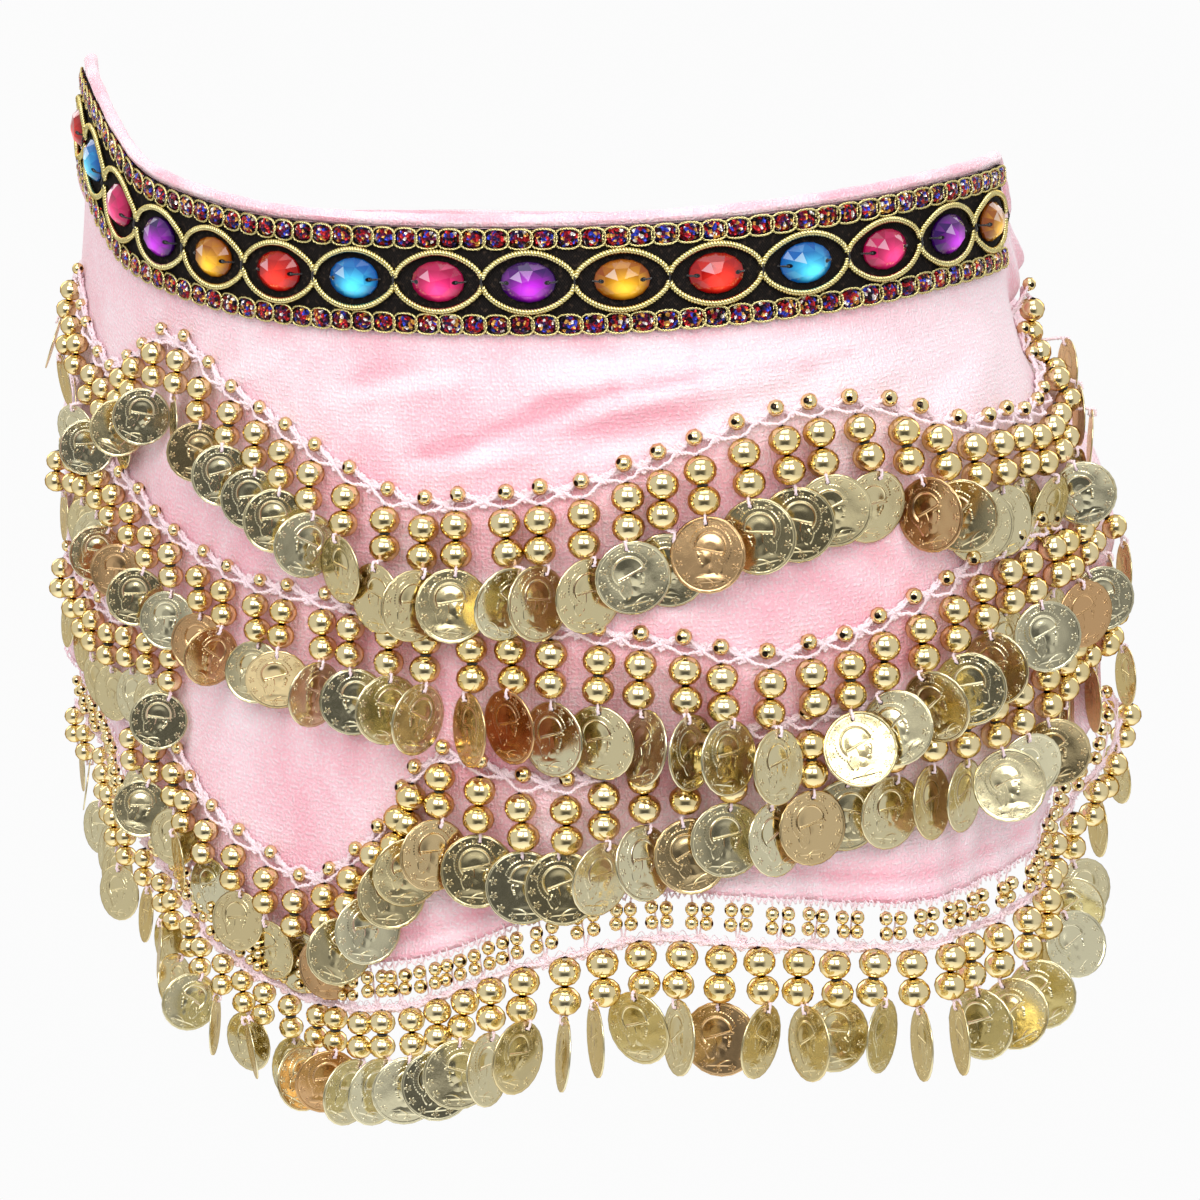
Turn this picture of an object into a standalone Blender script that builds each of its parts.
"""A belly dance hip scarf, worn: a velvet panel with a jewelled trim along its top edge,
rows of beaded strands that end in coins, a beaded net under the hem, and ties at the back.

Lengths are in millimetres until a point is stored, and angles are in degrees round the
waist, seen from above: 270 is the front (-Y), 360 the wearer's left (+X), 450 the back.
"""
import math

import bmesh
import bpy
from mathutils import Vector

MM = 0.001

# Driving sizes
CLOTH = 1.6                 # velvet wall
SEAM = 0.4                  # clear gap between a piece and what carries it
COLUMNS, PANEL_ROWS = 43, 12            # a strand of every row hangs on a column
COLUMN_STEP = 5.0                       # degrees between two columns
PANEL_START = 194.0                     # here the velvet is gathered into the tie
PANEL_END = PANEL_START + COLUMNS * COLUMN_STEP
BELT_START = PANEL_START + 5 * COLUMN_STEP      # the jewelled trim begins
BELT_END = PANEL_START + 37 * COLUMN_STEP       # and ends
TRIM_WIDTH = 31.0
TRIM_BASE = 1.0             # black ribbon
TRIM_BORDER = 1.7           # raised chain borders
BORDER_WIDTH = 7.0
EDGE_ROLL = 2.0             # radius of the rolled velvet edge above the trim
JEWELS = 15
JEWEL_LONG, JEWEL_TALL, JEWEL_THICK = 18.0, 13.0, 4.2
BRAID_WIDE, BRAID_THICK = 2.4, 2.0
BRAID_RISE = 8.6            # from the trim's middle to the crown of a loop
BEAD = 8.6                  # large bead
COIN, COIN_THICK = 22.6, 1.4
COIN_YAW = 22.0             # coins hang like open louvres
HEM_ROW_START, HEM_ROW_END = 226.0, 389.0       # where the net and its strands hang
NET_DROP = 13.5             # from the hem down to the crochet chain of the lowest row

# The ring that the scarf is worn on: height, half width, half depth, shift to the back
RING = (
    (68, 154, 127, 0), (28, 156, 129, 0), (-12, 159, 131, 0), (-52, 168, 137, 6),
    (-92, 174, 143, 11), (-142, 176, 145, 13), (-212, 175, 144, 13), (-312, 172, 142, 13),
)
# Middle line of the trim: angle, height
BELT_LINE = (
    (210, 36), (222, 32), (232, 26), (240, 17), (248, 8), (258, 3), (272, -0.8), (288, -1),
    (309, 0.5), (326, 2.8), (345, 6.3), (360, 9), (380, 10.5),
)
# The gathered ends of the panel, past the trim: angle, top edge, bottom edge
LEFT_END = ((194, -8, -34), (203, 8, -66), (212, 33, -108), (219, 50, -131))
RIGHT_END = ((379, 26.5, -165), (387, 16, -146), (395, 5, -108), (402, -4, -64), (409, -8, -34))
# Bottom edge between the ends: angle, height
HEM_LINE = (
    (219, -131), (230, -145), (242, -159.5), (254, -178), (264, -195), (274, -209.5),
    (284, -209), (292, -203.5), (300, -192.5), (308, -184), (316, -182), (326, -183.5),
    (337, -188), (350, -189), (359, -186.5), (368, -180), (379, -165),
)
# Crochet chains of the rows on the panel: angle, height
ROWS = {
    "row_top": (
        (228, -29), (235, -31.5), (243.5, -39.5), (250, -31), (257, -23), (268, -38.5),
        (280, -55), (288, -64), (300, -62), (310, -56), (320, -45.5), (330, -37.5),
        (338, -34), (345, -36.5), (353, -42.5), (365, -45), (378, -46.5), (389, -42),
    ),
    "row_second": (
        (228, -69), (238, -66), (248, -72), (256, -82), (264, -94), (272, -99.5),
        (285, -100), (300, -100), (313, -102), (325, -108), (333, -105.5), (341, -99),
        (349, -91), (360, -83), (375, -80), (389, -77),
    ),
    "row_side": ((228, -103), (232, -106), (240, -113), (247, -115.5), (254, -114), (261, -119.5)),
    "row_third": (
        (248, -147), (257, -152), (263, -166), (270, -177), (276, -185.5), (282, -176),
        (287, -158), (291, -140), (297, -143.5), (304, -147), (313, -139), (323, -132.5),
        (334, -130), (345, -127), (354, -125), (364, -119), (375, -112), (386, -110),
    ),
}
# Soft creases in the velvet: from angle, height, to angle, height, half width, rise
CREASES = (
    (352, -12, 306, -38, 9, 2.6), (346, -28, 296, -52, 8, -2.0), (330, -20, 300, -30, 7, 1.6),
    (372, -18, 344, -66, 10, 2.4), (282, -70, 300, -150, 12, 2.2), (262, -45, 250, -130, 11, 2.0),
    (330, -60, 318, -150, 12, 2.4), (232, -20, 226, -110, 10, 2.2),
)
GATHER_WAVES = 3.0          # folds across the height of the gathered ends
GATHER_RISE = 5.0
HEM_WAVE, HEM_RISE = 20.0, 2.2  # angle between two ripples of the hem, and their height

# One strand, ring by ring below the chain: drop, width, depth, outward, turned (1 for the coin)
STRIP_HALF = 1.5
RIDGE_REACH = 6.0
STRAND_TOP = (
    (-STRIP_HALF, 4.0, 1.0, 1.15, 0), (STRIP_HALF, 4.0, 1.0, 1.15, 0),
)
STRAND_BODY = (
    (10.2, BEAD, BEAD, 5.2, 0), (14.7, 2.4, 2.4, 5.8, 0), (19.2, BEAD, BEAD, 6.4, 0),
    (25.6, 6.0, COIN_THICK, 11.0, 1), (31.5, COIN, COIN_THICK, 15.0, 1),
    (41.0, COIN, COIN_THICK, 16.4, 1), (47.6, 8.5, COIN_THICK, 16.4, 1),
)
# The net above the lowest row's chain: the rail on the hem, a cluster of beads, the chain
NET_TOP = (
    (-NET_DROP - 1.5, 4.0, 1.0, 1.15, 0), (-NET_DROP + 1.5, 4.0, 1.0, 1.15, 0),
    (-6.6, 8.4, 4.4, 2.8, 0), (-1.3, 4.0, 1.6, 2.0, 0), (1.3, 4.0, 1.6, 2.0, 0),
)

# Ties at the back
KNOT_ANGLE = 415.0
KNOT_LONG, KNOT_TALL, KNOT_THICK = 30.0, 28.0, 17.0
TIE_HEIGHT, TIE_TALL, TIE_THICK = -21.0, 24.0, 3.0
TAIL_WIDE = 22.0
# The two hanging ends: name, degrees from the knot, outward, top, length
TAILS = (("tie_tail_long", -1.2, 2.0, -32.65, 88.0), ("tie_tail_short", 3.6, 8.2, -25.6, 74.0))

# Finishes: colour, roughness, metallic
FINISHES = {
    "velvet": ((0.92, 0.60, 0.68), 0.75, 0.0),
    "ribbon": ((0.02, 0.02, 0.025), 0.6, 0.0),
    "gold": ((0.86, 0.68, 0.32), 0.25, 1.0),
    "red": ((0.80, 0.03, 0.03), 0.1, 0.0),
    "sky": ((0.05, 0.50, 0.85), 0.1, 0.0),
    "magenta": ((0.80, 0.03, 0.35), 0.1, 0.0),
    "purple": ((0.16, 0.02, 0.35), 0.1, 0.0),
    "amber": ((0.80, 0.35, 0.03), 0.1, 0.0),
}
JEWEL_COLOURS = ("red", "sky", "magenta", "purple", "amber")


def smooth(table, x, column):
    """Read a column of a table at x with a smooth curve through its rows."""
    rows = sorted(table)
    if x <= rows[0][0]:
        return rows[0][column]
    if x >= rows[-1][0]:
        return rows[-1][column]
    k = max(i for i in range(len(rows) - 1) if rows[i][0] <= x)

    def slope(i):
        low, high = max(i - 1, 0), min(i + 1, len(rows) - 1)
        return (rows[high][column] - rows[low][column]) / (rows[high][0] - rows[low][0])

    span = rows[k + 1][0] - rows[k][0]
    f = (x - rows[k][0]) / span
    start, end = rows[k][column], rows[k + 1][column]
    rise = (2 * f**3 - 3 * f**2 + 1) * start + (3 * f**2 - 2 * f**3) * end
    return rise + span * ((f**3 - 2 * f**2 + f) * slope(k) + (f**3 - f**2) * slope(k + 1))


def ease(f):
    """0 below 0, 1 above 1, and a soft step between."""
    f = min(max(f, 0.0), 1.0)
    return f * f * (3 - 2 * f)


def step_length(angle, z):
    """Millimetres along the ring for one degree at this place."""
    a = math.radians(angle)
    wide, deep = smooth(RING, z, 1), smooth(RING, z, 2)
    return math.hypot(wide * math.sin(a), deep * math.cos(a)) * math.pi / 180


def belt_height(angle):
    return smooth(BELT_LINE, angle, 1)


def belt_slope(angle):
    """Rise of the trim's middle line for one millimetre along the ring."""
    return (belt_height(angle + 0.5) - belt_height(angle - 0.5)) / step_length(angle, belt_height(angle))


def top_height(angle):
    """Top edge of the velvet, half a millimetre above the trim, then down to the ties."""
    if angle < BELT_START:
        return smooth(LEFT_END, angle, 1)
    if angle > BELT_END:
        return smooth(RIGHT_END, angle, 1)
    return belt_height(angle) + TRIM_WIDTH / 2 + 0.5


def hem_height(angle):
    if angle < BELT_START:
        return smooth(LEFT_END, angle, 2)
    if angle > BELT_END:
        return smooth(RIGHT_END, angle, 2)
    return smooth(HEM_LINE, angle, 1)


def crease_relief(angle, z):
    """How far the soft creases push the velvet out at this place."""
    total = 0.0
    for angle_a, z_a, angle_b, z_b, half_width, rise in CREASES:
        scale = step_length(angle, z)
        along = Vector(((angle_b - angle_a) * scale, z_b - z_a))
        here = Vector(((angle - angle_a) * scale, z - z_a))
        f = here.dot(along) / along.length_squared
        away = abs(here.x * along.y - here.y * along.x) / along.length
        fade = ease(f / 0.3) * ease((1 - f) / 0.3)
        total += rise * fade * math.exp(-(away / half_width) ** 2)
    return total


def velvet_relief(angle, z):
    """Creases, ripples at the hem and gathers at the ends; flat under the trim."""
    top, hem = top_height(angle), hem_height(angle)
    below_trim = ease((top - TRIM_WIDTH - 4 - z) / 16)
    down = (top - z) / (top - hem)
    near_hem = ease((down - 0.72) / 0.28)
    ripple = HEM_RISE * near_hem * math.sin(2 * math.pi * angle / HEM_WAVE)
    left = ease((BELT_START + 4 - angle) / 16)
    right = ease((angle - BELT_END) / 14)
    taper = min(ease((angle - PANEL_START) / 6), ease((PANEL_END - angle) / 6))
    gather = GATHER_RISE * (left + right) * taper * math.sin(2 * math.pi * GATHER_WAVES * down)
    sides = below_trim if BELT_START < angle < BELT_END else 1.0
    bulge = 5.0 * right * taper
    return below_trim * (crease_relief(angle, z) + ripple) + sides * gather + bulge


class Velvet:
    """The panel's grid, which also carries everything that lies on the panel."""

    def __init__(self):
        self.angles = [PANEL_START + COLUMN_STEP * i for i in range(COLUMNS + 1)]
        self.tops = [top_height(a) for a in self.angles]
        self.hems = [hem_height(a) for a in self.angles]
        self.relief = [
            [velvet_relief(a, self.height(i, j)) for j in range(PANEL_ROWS + 1)]
            for i, a in enumerate(self.angles)
        ]

    def height(self, i, j):
        return self.tops[i] + (self.hems[i] - self.tops[i]) * j / PANEL_ROWS

    def lift(self, angle, z):
        """Relief of the faceted panel at any place, so that what lies on it never sinks in."""
        place = (angle - PANEL_START) / COLUMN_STEP
        i = min(max(int(place), 0), COLUMNS - 1)
        f = min(max(place - i, 0.0), 1.0)
        top = self.tops[i] * (1 - f) + self.tops[i + 1] * f
        hem = self.hems[i] * (1 - f) + self.hems[i + 1] * f
        down = min(max((top - z) / (top - hem), 0.0), 1.0) * PANEL_ROWS
        j = min(int(down), PANEL_ROWS - 1)
        g = down - j
        left = self.relief[i][j] * (1 - g) + self.relief[i][j + 1] * g
        right = self.relief[i + 1][j] * (1 - g) + self.relief[i + 1][j + 1] * g
        return left * (1 - f) + right * f

    def ridge_lift(self, angle, z):
        """The highest relief close by: what is sewn on loosely spans the folds' ridges."""
        return max(
            self.lift(angle + COLUMN_STEP * u / 2, z + RIDGE_REACH * v)
            for u in (-1, 0, 1) for v in (-1, 0, 1)
        )

    def point(self, angle, z, out=0.0, lifted=True):
        """A point so far out from the velvet's face, in metres."""
        a = math.radians(angle)
        wide, deep, back = (smooth(RING, z, column) for column in (1, 2, 3))
        normal = Vector((math.cos(a) / wide, math.sin(a) / deep, 0)).normalized()
        if lifted:
            out += self.lift(angle, z)
        place = Vector((wide * math.cos(a), deep * math.sin(a) + back, z)) + normal * out
        return place * MM


def finish(name):
    """A plain material of one finish."""
    material = bpy.data.materials.get(name) or bpy.data.materials.new(name)
    colour, roughness, metallic = FINISHES[name]
    material.use_nodes = True
    shader = material.node_tree.nodes["Principled BSDF"]
    shader.inputs["Base Color"].default_value = (*colour, 1)
    shader.inputs["Roughness"].default_value = roughness
    shader.inputs["Metallic"].default_value = metallic
    return material


def add_piece(name, points, faces, colour):
    """Make one closed solid from its points and faces."""
    mesh = bpy.data.meshes.new(name)
    mesh.from_pydata([tuple(p) for p in points], [], faces)
    shape = bmesh.new()
    shape.from_mesh(mesh)
    bmesh.ops.recalc_face_normals(shape, faces=shape.faces)
    bmesh.ops.triangulate(shape, faces=shape.faces)
    shape.to_mesh(mesh)
    shape.free()
    mesh.materials.append(finish(colour))
    piece = bpy.data.objects.new(name, mesh)
    bpy.context.scene.collection.objects.link(piece)
    return piece


def add_swept(name, rings, colour):
    """A solid through closed rings of points, with a flat cap at each end."""
    sides = len(rings[0])
    points = [p for ring in rings for p in ring]
    faces = [tuple(range(sides)), tuple(reversed(range(len(points) - sides, len(points))))]
    for r in range(len(rings) - 1):
        for s in range(sides):
            a, b = r * sides + s, r * sides + (s + 1) % sides
            faces.append((a, a + sides, b + sides, b))
    return add_piece(name, points, faces, colour)


def add_panel(velvet):
    rings = []
    for i, angle in enumerate(velvet.angles):
        heights = [velvet.height(i, j) for j in range(PANEL_ROWS + 1)]
        face = [velvet.point(angle, z) for z in heights]
        lining = [velvet.point(angle, z, -CLOTH) for z in reversed(heights)]
        rings.append(face + lining)
    return add_swept("velvet_panel", rings, "velvet")


def belt_angles(velvet):
    """The panel's own columns along the trim."""
    return [angle for angle in velvet.angles if BELT_START <= angle <= BELT_END]


def add_edge_roll(velvet):
    """The rolled velvet edge that stands above the trim."""
    rings = []
    for i, angle in enumerate(velvet.angles):
        middle = velvet.tops[i] + EDGE_ROLL + SEAM
        ring = []
        for k in range(6):
            turn = math.radians(60 * k)
            out = EDGE_ROLL * math.cos(turn) - CLOTH / 2 + velvet.relief[i][0]
            ring.append(velvet.point(angle, middle + EDGE_ROLL * math.sin(turn), out, False))
        rings.append(ring)
    return add_swept("edge_roll", rings, "velvet")


def add_trim(velvet):
    """The black ribbon with a raised chain border along each edge."""
    half, inner = TRIM_WIDTH / 2, TRIM_WIDTH / 2 - BORDER_WIDTH
    profile = (
        (-half, TRIM_BORDER), (-inner - 0.8, TRIM_BORDER), (-inner, TRIM_BASE),
        (inner, TRIM_BASE), (inner + 0.8, TRIM_BORDER), (half, TRIM_BORDER),
    )
    rings = []
    for angle in belt_angles(velvet):
        middle = belt_height(angle)
        outer = [velvet.point(angle, middle + up, SEAM + thick) for up, thick in profile]
        inner_side = [velvet.point(angle, middle + up, SEAM) for up in (half, 0, -half)]
        rings.append(outer + inner_side)
    return add_swept("trim_ribbon", rings, "ribbon")


def jewel_angles():
    """Angles of the jewels' middles and of the pinches between them, evenly spaced."""
    steps = 400
    angles = [BELT_START + (BELT_END - BELT_START) * k / steps for k in range(steps + 1)]
    travelled = [0.0]
    for a, b in zip(angles, angles[1:]):
        travelled.append(travelled[-1] + (b - a) * step_length((a + b) / 2, belt_height(a)))
    places = []
    for k in range(2 * JEWELS + 1):
        target = travelled[-1] * k / (2 * JEWELS)
        i = min(sum(t <= target for t in travelled), steps) - 1
        f = (target - travelled[i]) / (travelled[i + 1] - travelled[i])
        places.append(angles[i] + (angles[i + 1] - angles[i]) * f)
    return places


def add_braids(velvet):
    """Two gold braids that part round each jewel and meet at a pinch between two."""
    places = jewel_angles()
    steps = 6
    pinch = BRAID_WIDE / 2 + 0.4
    for name, side in (("braid_upper", 1), ("braid_lower", -1)):
        rings = []
        for k in range(JEWELS * steps + 1):
            loop, part = divmod(k, steps)
            if loop == JEWELS:
                loop, part = JEWELS - 1, steps
            f = part / steps
            start, end = places[2 * loop], places[2 * loop + 2]
            angle = start + (end - start) * f
            angle = min(max(angle, BELT_START + 0.5), BELT_END - 0.5)
            opening = math.sin(math.pi * f)
            rise = pinch + (BRAID_RISE - pinch) * opening ** 0.8
            seat = SEAM + TRIM_BASE + 0.3 + (TRIM_BORDER - TRIM_BASE) * ease(opening / 0.6)
            middle = belt_height(angle) + side * rise * math.hypot(1, belt_slope(angle))
            section = ((-1, 0), (1, 0), (0, 1))
            rings.append([
                velvet.point(angle, middle + u * BRAID_WIDE / 2, seat + o * BRAID_THICK)
                for u, o in section
            ])
        add_swept(name, rings, "gold")


def add_jewels(velvet):
    """Faceted oval jewels, flat behind, each on the ribbon inside its loop."""
    places = jewel_angles()
    profile = ((0.96, 0.0), (1.0, 0.3), (0.55, 1.0))   # share of the size, share of the thickness
    for number in range(JEWELS):
        angle = places[2 * number + 1]
        z = belt_height(angle)
        seat = SEAM + TRIM_BASE + 0.45
        centre = velvet.point(angle, z, seat)
        ahead = velvet.point(angle + 1, belt_height(angle + 1), seat) - centre
        reach = JEWEL_TALL / 2
        upright = velvet.point(angle, z + reach, seat) - velvet.point(angle, z - reach, seat)
        along = ahead.normalized()
        normal = along.cross(upright).normalized()
        across = normal.cross(along)
        rings = []
        for size, lift in profile:
            rings.append([
                centre + normal * (lift * JEWEL_THICK * MM)
                + along * (math.cos(turn) * size * JEWEL_LONG / 2 * MM)
                + across * (math.sin(turn) * size * JEWEL_TALL / 2 * MM)
                for turn in (math.radians(45 * k) for k in range(8))
            ])
        colour = JEWEL_COLOURS[number % len(JEWEL_COLOURS)]
        add_swept(f"jewel_{number + 1:02d}", rings, colour)


def strand_angles(velvet, start, end):
    """A strand hangs on each of the panel's columns between two angles."""
    return [angle for angle in velvet.angles if start <= angle <= end]


def add_fringe(name, velvet, angles, chain, rings, rails):
    """Strands side by side, fused only along the rails, each rail between two rings."""
    points, faces = [], []
    count = len(rings)
    for angle in angles:
        for drop, width, depth, out, turned in rings:
            z = chain(angle) - drop
            yaw = math.radians(COIN_YAW * turned)
            for u, o in ((-1, -1), (1, -1), (1, 1), (-1, 1)):
                side, front = u * width / 2, o * depth / 2
                level = side * math.cos(yaw) - front * math.sin(yaw)
                outward = out + side * math.sin(yaw) + front * math.cos(yaw)
                turn = angle + level / step_length(angle, z)
                rail_slope = 0.0 if turned or width > 5 else chain(turn) - chain(angle)
                outward += velvet.ridge_lift(angle, z)
                points.append(velvet.point(turn, z + rail_slope, outward, False))

    def corner(strand, ring, k):
        return 4 * (strand * count + ring) + k

    last = len(angles) - 1
    for s in range(len(angles)):
        faces.append(tuple(corner(s, 0, k) for k in range(4)))
        faces.append(tuple(corner(s, count - 1, k) for k in (3, 2, 1, 0)))
        for r in range(count - 1):
            for k in range(4):
                joined = r in rails and ((k == 1 and s < last) or (k == 3 and s > 0))
                if not joined:
                    n = (k + 1) % 4
                    faces.append((corner(s, r, k), corner(s, r + 1, k),
                                  corner(s, r + 1, n), corner(s, r, n)))
    for s in range(last):
        for r in rails:
            back = (corner(s, r, 1), corner(s + 1, r, 0), corner(s + 1, r + 1, 0), corner(s, r + 1, 1))
            front = (corner(s, r, 2), corner(s, r + 1, 2), corner(s + 1, r + 1, 3), corner(s + 1, r, 3))
            faces += [back, front, (back[0], front[0], front[3], back[1]),
                      (back[3], back[2], front[2], front[1])]
    return add_piece(name, points, faces, "gold")


def add_rows(velvet):
    for name, table in ROWS.items():
        def chain(angle, table=table):
            return smooth(table, angle, 1)
        angles = strand_angles(velvet, table[0][0], table[-1][0])
        add_fringe(name, velvet, angles, chain, STRAND_TOP + STRAND_BODY, (0,))


def add_hem_net(velvet):
    """The beaded net under the hem, with the lowest row of strands on its chain."""
    def chain(angle):
        return hem_height(angle) - NET_DROP
    angles = strand_angles(velvet, HEM_ROW_START, HEM_ROW_END)
    add_fringe("hem_net", velvet, angles, chain, NET_TOP + STRAND_BODY, (0, 3))


def add_ties(velvet):
    """The tie that goes round the back, its knot and the two hanging tails."""
    knot_half = KNOT_LONG / 2 / step_length(KNOT_ANGLE, TIE_HEIGHT)
    seat = 0.35 / step_length(KNOT_ANGLE, TIE_HEIGHT)
    start = KNOT_ANGLE + knot_half + seat
    end = PANEL_START + 360 - 0.15
    steps = 20
    rings = []
    for k in range(steps + 1):
        angle = start + (end - start) * k / steps
        sag = -4 * math.sin(math.pi * k / steps)
        section = ((-1, -1), (0, -0.6), (1, -1), (1, 1), (0.35, 0.5), (-0.35, 1.2), (-1, 1))
        rings.append([
            velvet.point(angle, TIE_HEIGHT + sag + up * TIE_TALL / 2, o * TIE_THICK / 2, False)
            for up, o in section
        ])
    add_swept("tie_band", rings, "velvet")
    add_knot(velvet)
    for name, shift, out, top, length in TAILS:
        add_tail(velvet, name, KNOT_ANGLE + shift, out, top, length)


def add_knot(velvet):
    """A rounded knot with a shallow groove where one end crosses the other."""
    centre = velvet.point(KNOT_ANGLE, TIE_HEIGHT, 1.0, False)
    normal = (velvet.point(KNOT_ANGLE, TIE_HEIGHT, 2.0, False) - centre).normalized()
    along = Vector((0, 0, 1)).cross(normal)
    rings = []
    for k in range(9):
        polar = math.pi * (k + 0.35) / 8.7
        rings.append([])
        for s in range(12):
            turn = 2 * math.pi * s / 12
            groove = 1 - 0.12 * math.cos(2 * turn + polar)
            up = math.cos(turn) * math.sin(polar) * groove
            out = math.sin(turn) * math.sin(polar) * groove
            rings[-1].append(
                centre - along * (math.cos(polar) * KNOT_LONG / 2 * MM)
                + Vector((0, 0, up * KNOT_TALL / 2 * MM))
                + normal * (out * KNOT_THICK / 2 * MM))
    add_swept("tie_knot", rings, "velvet")


def add_tail(velvet, name, angle, out, top, length):
    steps = 8
    rings = []
    for k in range(steps + 1):
        f = k / steps
        half = (6.0 + (TAIL_WIDE / 2 - 6.0) * ease(f * 1.6)) / step_length(angle, top)
        curl = 1.2 * math.sin(5 * f)
        z = top - length * f
        rings.append([
            velvet.point(angle + u * half, z, out + o * TIE_THICK / 2 + curl * u, False)
            for u, o in ((-1, -1), (0, -0.7), (1, -1), (1, 1), (0, 1.3), (-1, 1))
        ])
    add_swept(name, rings, "velvet")


def main():
    for old in list(bpy.data.objects):
        bpy.data.objects.remove(old, do_unlink=True)
    velvet = Velvet()
    add_panel(velvet)
    add_edge_roll(velvet)
    add_trim(velvet)
    add_braids(velvet)
    add_jewels(velvet)
    add_rows(velvet)
    add_hem_net(velvet)
    add_ties(velvet)


main()
